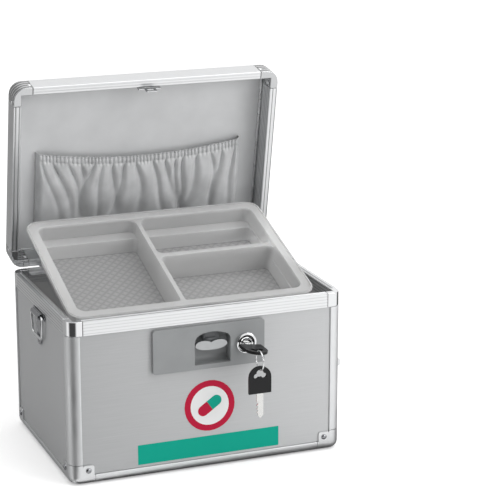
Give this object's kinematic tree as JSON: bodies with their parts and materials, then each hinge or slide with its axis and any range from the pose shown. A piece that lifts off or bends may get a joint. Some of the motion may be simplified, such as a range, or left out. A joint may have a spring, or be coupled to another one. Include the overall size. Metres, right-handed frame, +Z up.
{
  "type": "medication lock box",
  "caption": "Aluminium-framed medication lock box with an open hinged lid, cloth lid pocket, tilting divided tray, keyed paddle latch, carry handle and loose shoulder strap.",
  "frame": {"origin": "on the floor under the middle of the case, which is the underside of its base", "axes": "+X to the right seen from the front, +Y to the rear where the hinge is, +Z up"},
  "size_m": [0.4489, 0.3573, 0.4097],
  "materials": {
    "brushed_panel": "fine brushed",
    "rail": "satin anodised",
    "polished": "polished",
    "satin_steel": "satin plated",
    "lock_grey": "satin moulded",
    "paddle_grey": "semi gloss",
    "black_plastic": "satin moulded",
    "lid_lining": "fine grained sheet",
    "pocket_cloth": "satin woven lining",
    "frosted_tray": "frosted translucent",
    "black_webbing": "woven webbing"
  },
  "bodies": {
    "case": {"base_panel": "brushed_panel", "rear_panel": "brushed_panel", "left_panel": "brushed_panel", "right_panel": "brushed_panel", "front_panel": "brushed_panel", "post_front_left": "rail", "post_front_right": "rail", "post_rear_left": "rail", "post_rear_right": "rail", "top_rail_front": "rail", "top_rail_rear": "rail", "top_rail_left": "rail", "top_rail_right": "rail", "bottom_rail_front": "rail", "bottom_rail_rear": "rail", "bottom_rail_left": "rail", "bottom_rail_right": "rail", "top_cap_front_left": "polished", "top_cap_front_right": "polished", "top_cap_rear_left": "polished", "top_cap_rear_right": "polished", "bottom_cap_front_left": "polished", "bottom_cap_front_right": "polished", "bottom_cap_rear_left": "polished", "bottom_cap_rear_right": "polished", "ring_plate_left": "polished", "ring_plate_right": "polished", "lock_cylinder": "polished", "snap_hook_left": "polished", "snap_hook_right": "polished", "hinge_case_leaf": "satin_steel", "hinge_pin": "satin_steel", "lock_housing": "lock_grey", "strap_slider": "black_plastic", "strap_webbing": "black_webbing", "shoulder_pad": "black_webbing"},
    "lid": {"lid_corner_front_left": "polished", "lid_corner_front_right": "polished", "lid_corner_rear_left": "polished", "lid_corner_rear_right": "polished", "lid_rail_front": "rail", "lid_rail_rear": "rail", "lid_rail_left": "rail", "lid_rail_right": "rail", "lid_panel": "brushed_panel", "lid_lining": "lid_lining", "lid_strike": "satin_steel", "lid_pocket": "pocket_cloth", "hinge_lid_leaf": "satin_steel", "handle_bracket_left": "polished", "handle_bracket_right": "polished"},
    "handle": {"carry_handle": "polished"},
    "tray": {"tray": "frosted_tray"},
    "latch": {"latch_paddle": "paddle_grey"},
    "plug": {"lock_plug": "polished"},
    "lock_key": {"key_in_lock": "black_plastic"},
    "split_ring": {"key_ring": "polished"},
    "spare": {"spare_key": "black_plastic"},
    "left_ring": {"side_ring_left": "polished"},
    "right_ring": {"side_ring_right": "polished"}
  },
  "joints": [
    {"name": "lid_hinge", "type": "hinge", "parent": "case", "child": "lid", "pos_m": [0, 0.1148, 0.1819], "axis": [-1, 0, 0], "range_deg": [-79, 11]},
    {"name": "handle_fold", "type": "hinge", "parent": "lid", "child": "handle", "pos_m": [0, 0.13687, 0.30314], "axis": [1, 0, 0], "range_deg": [0, 180]},
    {"name": "tray_tilt", "type": "hinge", "parent": "case", "child": "tray", "pos_m": [0, -0.0955, 0.1833], "axis": [1, 0, 0], "range_deg": [-18, 2.5]},
    {"name": "latch_pull", "type": "hinge", "parent": "case", "child": "latch", "pos_m": [0.004, -0.1078, 0.1614], "axis": [-1, 0, 0], "range_deg": [0, 12], "stiffness_Nm_per_rad": 0.4, "springref_deg": -5.73},
    {"name": "lock_turn", "type": "hinge", "parent": "case", "child": "plug", "pos_m": [0.0428, -0.11, 0.1422], "axis": [0, 1, 0], "range_deg": [0, 90]},
    {"name": "key_slide", "type": "slide", "parent": "plug", "child": "lock_key", "axis": [0, -1, 0], "range_m": [0, 0.024]},
    {"name": "split_ring_swing", "type": "hinge", "parent": "lock_key", "child": "split_ring", "pos_m": [0.0428, -0.1564, 0.1422], "axis": [1, 0, 0], "range_deg": [-15, 6]},
    {"name": "spare_key_swing", "type": "hinge", "parent": "split_ring", "child": "spare", "pos_m": [0.0428, -0.1564, 0.123], "axis": [0, 1, 0], "range_deg": [-15, 15]},
    {"name": "left_ring_swing", "type": "hinge", "parent": "case", "child": "left_ring", "pos_m": [-0.1622, 0, 0.1654], "axis": [0, 1, 0], "range_deg": [0, 110]},
    {"name": "right_ring_swing", "type": "hinge", "parent": "case", "child": "right_ring", "pos_m": [0.1622, 0, 0.1654], "axis": [0, -1, 0], "range_deg": [0, 110]}
  ],
  "couplings": [
    {"joint": "tray_tilt", "follows": "lid_hinge", "ratio": 0.22785}
  ]
}
